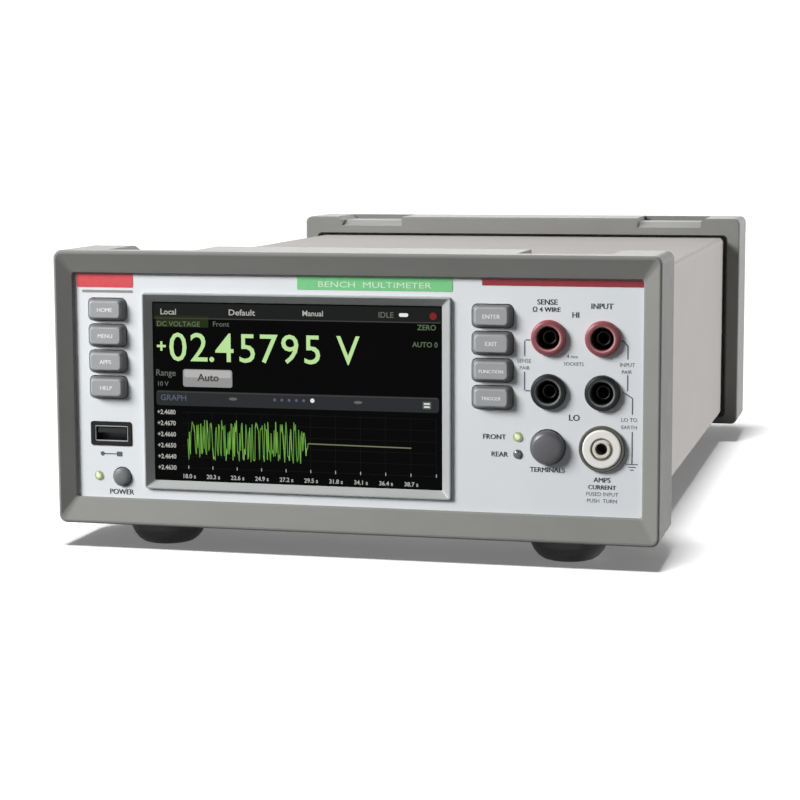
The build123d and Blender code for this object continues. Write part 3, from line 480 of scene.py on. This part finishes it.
# guide line from the input sockets down to the earth mark
x1 = ix + 8.75 * MM
p.stroke((ix + 6.4 * MM, iz - 0.6 * MM), (x1 - 1.6 * MM, iz - 0.7 * MM), w, *INK_Y)
p.stroke((x1 - 1.6 * MM, iz - 0.7 * MM), (x1, iz - 2.4 * MM), w, *INK_Y)
p.stroke((x1, iz - 2.4 * MM), (x1, iz - 7.0 * MM), w, *INK_Y)
p.stroke((x1, iz - 12.6 * MM), (x1, lz + 1.0 * MM), w, *INK_Y)
p.stroke((x1 - 1.7 * MM, lz + 0.6 * MM), (x1 - 0.4 * MM, lz - 0.2 * MM), w, *INK_Y)
x2 = ix + 10.5 * MM
p.stroke((x1 - 0.4 * MM, lz - 0.2 * MM), (x2, lz - 1.6 * MM), w, *INK_Y)
p.stroke((x2, lz - 1.6 * MM), (x2, lz - 7.2 * MM), w, *INK_Y)
p.stroke((x2, lz - 13.4 * MM), (x2, lz - 24.6 * MM), w, *INK_Y)
for k, hw in enumerate((2.0, 1.3, 0.6)):
    zz = lz - (24.8 + 1.0 * k) * MM
    p.stroke((x2 - hw * MM, zz), (x2 + hw * MM, zz), 0.36 * MM, *INK_Y)
ux, uz = jack_xz("usb_host_surround")
p.stroke((ux - 3.0 * MM, uz - 7.6 * MM), (ux + 2.2 * MM, uz - 7.6 * MM), 0.40 * MM, *INK_Y)
p.disc(ux - 3.6 * MM, uz - 7.6 * MM, 0.85 * MM, 0.85 * MM, *INK_Y)
p.round_rect(ux + 2.0 * MM, ux + 4.2 * MM, uz - 8.5 * MM, uz - 6.7 * MM, 0.3 * MM, *INK_Y)
p.make()

# coloured strips along the top of the panel, no names on them
top = panel_hi[2] - 1.45 * MM
LY = (YP - 0.00012, YP + 0.00002)
px0, px1 = panel_lo[0], panel_hi[0]
p = Piece("label_red_block", [LABEL_RED, LABEL_LINE])
p.round_rect(px0 + 2.6 * MM, px0 + 24.6 * MM, top - 5.2 * MM, top + 0.4 * MM, 0.5 * MM, *LY)
p.round_rect(px0 + 4.6 * MM, px0 + 24.4 * MM, top - 7.1 * MM, top - 6.2 * MM, 0.2 * MM, *LY, mat=1)
p.make()
p = Piece("label_green_strip", [LABEL_GREEN, LABEL_TEXT])
p.round_rect(px0 + 87.4 * MM, px0 + 144.6 * MM, top - 5.0 * MM, top + 0.4 * MM, 0.4 * MM, *LY)
p.text("BENCH  MULTIMETER", px0 + 116.0 * MM, top - 4.0 * MM, 2.9 * MM, YP - 0.00018, YP - 0.00010, mat=1, bold=0.0, width=1.5)
p.make()
p = Piece("label_maroon_strip", [LABEL_MAROON])
p.round_rect(px0 + 155.2 * MM, px1 - 1.2 * MM, top - 2.6 * MM, top + 0.4 * MM, 0.3 * MM, *LY)
p.make()

# key legends
WORDS = {"key_home": "HOME", "key_menu": "MENU", "key_apps": "APPS", "key_help": "HELP", "key_enter": "ENTER", "key_exit": "EXIT",
         "key_function": "FUNCTION", "key_trigger": "TRIGGER"}
for node, word in WORDS.items():
    lo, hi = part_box(node)
    cx, cz, y = (lo[0] + hi[0]) / 2, (lo[2] + hi[2]) / 2, lo[1]
    p = Piece("legend_" + node, [KEY_INK], body=node)
    size = 2.15 * MM if len(word) <= 5 else 1.75 * MM
    p.heavy(word, cx, cz - 0.75 * MM, size, y - 0.00005, y + 0.00002, weight=0.12 * MM)
    p.make()

# --------------------------------------------------------------- screen image
glo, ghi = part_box("touch_glass")
X0, Z1, GY = glo[0] + 1.6 * MM, ghi[2] - 1.6 * MM, glo[1]
SW, SH = ghi[0] - glo[0] - 3.2 * MM, ghi[2] - glo[2] - 3.2 * MM


def sxz(dx, dz):
    return X0 + dx * MM, Z1 - dz * MM


def rect(p, dx0, dx1, dz0, dz1, r, lift, mat=0):
    x0, z1 = sxz(dx0, dz0)
    x1, z0 = sxz(dx1, dz1)
    y = GY - lift * 1e-5
    return p.round_rect(x0, x1, z0, z1, r * MM, y - 0.8e-5, y, mat)


def stext(p, s, dx, dz, size, lift=4, mat=0, align="LEFT", bold=0.00003, width=1.0):
    x, z = sxz(dx, dz)
    y = GY - lift * 1e-5
    return p.text(s, x, z, size * MM, y - 0.8e-5, y, mat, align=align, bold=bold, width=width)


p = Piece("screen_panes", [S_STATUS, S_LINE, S_BAR, S_GREENBAND, S_BUTTON, S_BUTTON_TOP])
rect(p, 0.4, SW / MM - 0.4, 0.5, 5.9, 0.3, 1, 0)
rect(p, 0.4, SW / MM - 0.4, 5.75, 6.15, 0.1, 2, 1)
rect(p, 1.2, 21.6, 5.0, 9.2, 0.4, 1.6, 3)
rect(p, 1.0, 107.9, 32.7, 38.2, 1.1, 1, 2)
rect(p, 1.4, 107.4, 32.9, 33.3, 0.15, 2, 1)
rect(p, 11.5, 30.5, 24.6, 31.1, 0.9, 1, 4)
rect(p, 12.0, 30.0, 24.9, 27.6, 0.8, 2, 5)
p.make()

p = Piece("screen_reading", [S_DIGIT])
H = 15.0
for ch, cx in (("0", 9.75), ("2", 17.85), (".", 22.75), ("4", 27.8), ("5", 36.45), ("7", 44.35), ("9", 52.6), ("5", 61.1), ("V", 74.4)):
    stext(p, ch, cx, 21.6, H, lift=4, align="CENTER", bold=0.00005, width=1.0 if ch != "V" else 0.94)
x, z = sxz(3.3, 16.3)
y = GY - 4e-5
p.round_rect(x - 1.75 * MM, x + 1.75 * MM, z - 0.45 * MM, z + 0.45 * MM, 0.2 * MM, y - 0.8e-5, y)
p.round_rect(x - 0.42 * MM, x + 0.42 * MM, z - 1.75 * MM, z + 1.75 * MM, 0.2 * MM, y - 1.0e-5, y)
p.make()

p = Piece("screen_words", [S_WHITE, S_GREEN, S_DIM, S_BUTTON_TEXT, S_BLUE, S_BRIGHT, S_RED])
stext(p, "Local", 3.0, 4.6, 3.0, mat=0, bold=0.00004)
stext(p, "Default", 29.3, 4.5, 3.0, mat=0, bold=0.00004, width=1.15)
stext(p, "Manual", 57.3, 4.3, 2.8, mat=0, bold=0.00004)
stext(p, "IDLE", 85.6, 4.4, 2.9, mat=2, bold=0.00004)
stext(p, "DC VOLTAGE", 1.6, 8.9, 2.6, mat=1, width=1.05, bold=0.00003)
stext(p, "Front", 23.2, 8.7, 2.6, mat=2, width=1.1, bold=0.00002)
stext(p, "ZERO", 100.0, 8.6, 2.7, mat=1)
stext(p, "AUTO 0", 98.2, 14.7, 2.6, mat=1)
stext(p, "Range", 0.9, 27.2, 3.3, mat=2, width=0.98)
stext(p, "10 V", 1.3, 31.0, 2.4, mat=2)
stext(p, "Auto", 21.3, 28.8, 3.7, lift=5, mat=3, align="CENTER", bold=0.0001, width=1.08)
stext(p, "GRAPH", 2.6, 36.3, 3.0, mat=4, width=1.05)
for k in range(5):
    xx, zz = sxz(46.6 + 2.75 * k, 35.1)
    p.disc(xx, zz, 0.55 * MM, 0.55 * MM, GY - 5e-5, GY - 4e-5, mat=4)
xx, zz = sxz(60.9, 35.0)
p.disc(xx, zz, 0.8 * MM, 0.8 * MM, GY - 5e-5, GY - 4e-5, mat=5)
for cx in (30.7, 78.0):
    xx, zz = sxz(cx, 35.2)
    p.disc(xx, zz, 1.6 * MM, 0.55 * MM, GY - 5e-5, GY - 4e-5, mat=2)
rect(p, 93.3, 96.7, 2.7, 4.0, 0.6, 4, 5)
xx, zz = sxz(105.8, 4.9)
p.disc(xx, zz + 1.3 * MM, 1.3 * MM, 1.3 * MM, GY - 5e-5, GY - 4e-5, mat=6)
rect(p, 101.9, 105.0, 34.3, 36.9, 0.3, 4, 2)
rect(p, 102.4, 104.5, 34.8, 35.3, 0.1, 5, 5)
rect(p, 102.4, 104.5, 35.9, 36.4, 0.1, 5, 5)
p.make()

p = Piece("screen_graph", [S_GRID, S_WHITE, S_GRAPH, S_GRAPH_HI, S_FLAT])
rows = [40.5 + 4.13 * k for k in range(6)]
for k, dz in enumerate(rows):
    stext(p, "+2.4%02d0" % (68 - k), 1.2, dz + 0.95, 2.35, mat=1, bold=0.00005, width=0.93)
    rect(p, 10.6, 106.9, dz + 0.0, dz + 0.13, 0.04, 1, 0)
for k in range(11):
    dx = 13.2 + 9.37 * k
    rect(p, dx - 0.06, dx + 0.06, 40.0, 62.0, 0.04, 1, 0)
    rect(p, dx - 0.14, dx + 0.14, 60.4, 61.6, 0.08, 3, 1)
for k in range(10):
    stext(p, "%.1f s" % (18.0 + 2.3 * k), 13.3 + 9.37 * k, 65.1, 2.2, mat=1, align="CENTER", bold=0.00004, width=1.0)
rng = random.Random(7)
x = 13.0
prev = 50.5
while x < 58.8:
    dz = 50.7 + rng.choice((-1, 1)) * rng.uniform(2.4, 7.6)
    if 57.5 < x:
        dz = 50.7 + rng.uniform(-6.0, 5.0)
    a, b = sxz(x, prev), sxz(x + 0.30, dz)
    p.stroke(a, b, 0.30 * MM, GY - 4.6e-5, GY - 3.6e-5, mat=2 if rng.random() < 0.7 else 3)
    prev = dz
    x += 0.30
p.stroke(sxz(x, prev), sxz(59.1, 50.8), 0.3 * MM, GY - 4.6e-5, GY - 3.6e-5, mat=2)
p.stroke(sxz(59.1, 50.8), sxz(97.6, 51.2), 0.42 * MM, GY - 4.6e-5, GY - 3.6e-5, mat=4)
p.make()

# ------------------------------------------------------------- rear printing
rlo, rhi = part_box("rear_panel")
RY = rhi[1]
RI = (RY - 0.00002, RY + 0.00006)
p = Piece("rear_legends", [INK])
sxr, szr = 0.06195, 0.062
for word, cx, cz, size in (("INPUT", 81.0, 71.0, 2.6), ("SENSE", 61.95, 71.0, 2.6), ("HI", 71.5, 61.0, 2.6), ("LO", 71.5, 42.0, 2.6), ("TRIG IN", 28.0, 39.6, 2.3),
                           ("TRIG OUT", 46.0, 39.6, 2.3), ("LAN", 0.0, 39.8, 2.5), ("USB", -23.0, 38.4, 2.5), ("LINE", -74.0, 61.4, 2.8), ("FUSE", -54.4, 21.6, 1.9)):
    p.text(word, cx * MM, cz * MM, size * MM, *RI, bold=0.00003, face=1)
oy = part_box("option_slot_cover")[1][1]
p.text("OPTION SLOT", 0.0, 76.0 * MM, 3.2 * MM, oy - 0.00002, oy + 0.00006, face=1)
for k, hw in enumerate((2.0, 1.3, 0.6)):
    zz = (38.0 - 1.0 * k) * MM
    p.stroke((-46.0 * MM - hw * MM, zz), (-46.0 * MM + hw * MM, zz), 0.36 * MM, *RI)
p.stroke((-46.0 * MM, 38.2 * MM), (-46.0 * MM, 40.4 * MM), 0.36 * MM, *RI)
p.make()

# ------------------------------------------------------------ stage and light
def disc_of_rings(name, rings_rz, mat, seg=64):
    bm = bmesh.new()
    rings = []
    for r, z in rings_rz:
        rings.append([bm.verts.new((0, 0, z))] if r == 0 else [bm.verts.new((r * math.cos(2 * math.pi * i / seg), r * math.sin(2 * math.pi * i / seg), z)) for i in range(seg)])
    for k in range(len(rings) - 1):
        for i in range(seg):
            j = (i + 1) % seg
            if len(rings[k]) == 1:
                bm.faces.new((rings[k][0], rings[k + 1][i], rings[k + 1][j]))
            else:
                bm.faces.new((rings[k][i], rings[k + 1][i], rings[k + 1][j], rings[k][j]))
    me = bpy.data.meshes.new(name)
    bm.to_mesh(me)
    bm.free()
    ob = bpy.data.objects.new(name, me)
    me.materials.append(mat)
    bpy.context.scene.collection.objects.link(ob)
    ob.visible_diffuse = False
    ob.visible_shadow = False
    return ob


disc_of_rings("studio_floor", [(0, 0), (0.6, 0), (1.5, 0), (3.6, 0)], material("floor_white", (249, 249, 250), rough=0.8, vary=0.004, vary_mm=300, spec=0.1, emit=(255, 255, 255), emit_strength=0.16))
disc_of_rings("studio_backdrop", [(3.6, 0), (4.2, 0.06), (4.7, 0.3), (4.9, 0.8), (5.0, 3.0)],
              material("backdrop_white", (240, 240, 240), rough=0.9, vary=0.004, vary_mm=300, spec=0.0, emit=(255, 255, 255), emit_strength=1.02))

world = bpy.data.worlds.new("studio")
bpy.context.scene.world = world
world.use_nodes = True
bg = world.node_tree.nodes["Background"]
bg.inputs["Color"].default_value = (1, 1, 1, 1)
bg.inputs["Strength"].default_value = 0.06


def sun(name, direction, strength, angle, color=(1, 1, 1)):
    d = bpy.data.lights.new(name, "SUN")
    d.energy = strength
    d.angle = math.radians(angle)
    d.color = color
    o = bpy.data.objects.new(name, d)
    o.rotation_euler = Vector(direction).to_track_quat("Z", "Y").to_euler()   # the lamp shines along its -Z
    bpy.context.scene.collection.objects.link(o)
    return o


# key: a soft disc on the left, near enough to fall off gently across the front
d = bpy.data.lights.new("key_left", "AREA")
d.shape = "DISK"
d.size = 0.64
d.energy = 34.5
key = bpy.data.objects.new("key_left", d)
aim = Vector((-1.36, -1.0, 1.0)).normalized()
key.location = Vector((0.0, YP, 0.06)) + aim * 1.5
key.rotation_euler = aim.to_track_quat("Z", "Y").to_euler()
bpy.context.scene.collection.objects.link(key)
fill = sun("fill_right", (1.0, 0.30, 0.25), 2.3, 16)
over = sun("overhead", (0.0, 0.15, 1.0), 0.3, 50)
fill_low = sun("fill_bumper", (1.0, 0.30, 0.25), 1.0, 16)
rim = sun("rim_back", (-0.2, 0.9, 0.5), 1.0, 20)
floor_light = sun("floor_light", (-0.05, -0.27, 1.0), 3.2, 14)
subject = bpy.data.collections.new("lit_subject")
ground = bpy.data.collections.new("lit_ground")
side_lit = bpy.data.collections.new("lit_side")
bumper_lit = bpy.data.collections.new("lit_bumper")
rim_lit = bpy.data.collections.new("lit_rim")
for o in list(bpy.context.scene.objects):
    if o.type == "MESH":
        on_ground = o.name.startswith("studio_")
        (ground if on_ground else subject).objects.link(o)
        if not on_ground:
            (bumper_lit if o is N["front_bumper"] else side_lit).objects.link(o)
for lamp in (key, over):
    lamp.light_linking.receiver_collection = subject
fill.light_linking.receiver_collection = side_lit
fill_low.light_linking.receiver_collection = bumper_lit
for name in ("front_bumper", "rear_bumper"):
    rim_lit.objects.link(N[name])
rim.light_linking.receiver_collection = rim_lit
floor_light.light_linking.receiver_collection = ground

# ---------------------------------------------------------------------- camera
yaw, pitch, roll = (math.radians(v) for v in (14.0356, 7.2054, -0.2260))
back = Vector((math.sin(yaw) * math.cos(pitch), -math.cos(yaw) * math.cos(pitch), math.sin(pitch)))
right = (-back).cross(Vector((0, 0, 1))).normalized()
up = right.cross(-back).normalized()
r2 = right * math.cos(roll) + up * math.sin(roll)
u2 = -right * math.sin(roll) + up * math.cos(roll)
cam_d = bpy.data.cameras.new("camera")
cam_d.sensor_width = 36.0
cam_d.lens = 2104.6 * 36.0 / 800.0
cam_d.clip_start = 0.05
cam_d.clip_end = 60.0
cam = bpy.data.objects.new("camera", cam_d)
m = Matrix((r2, u2, back)).transposed().to_4x4()
m.translation = Vector((0.19928, -0.89887, 0.15244))
cam.matrix_world = m
bpy.context.scene.collection.objects.link(cam)
bpy.context.scene.camera = cam
bpy.context.scene.view_settings.view_transform = "Standard"
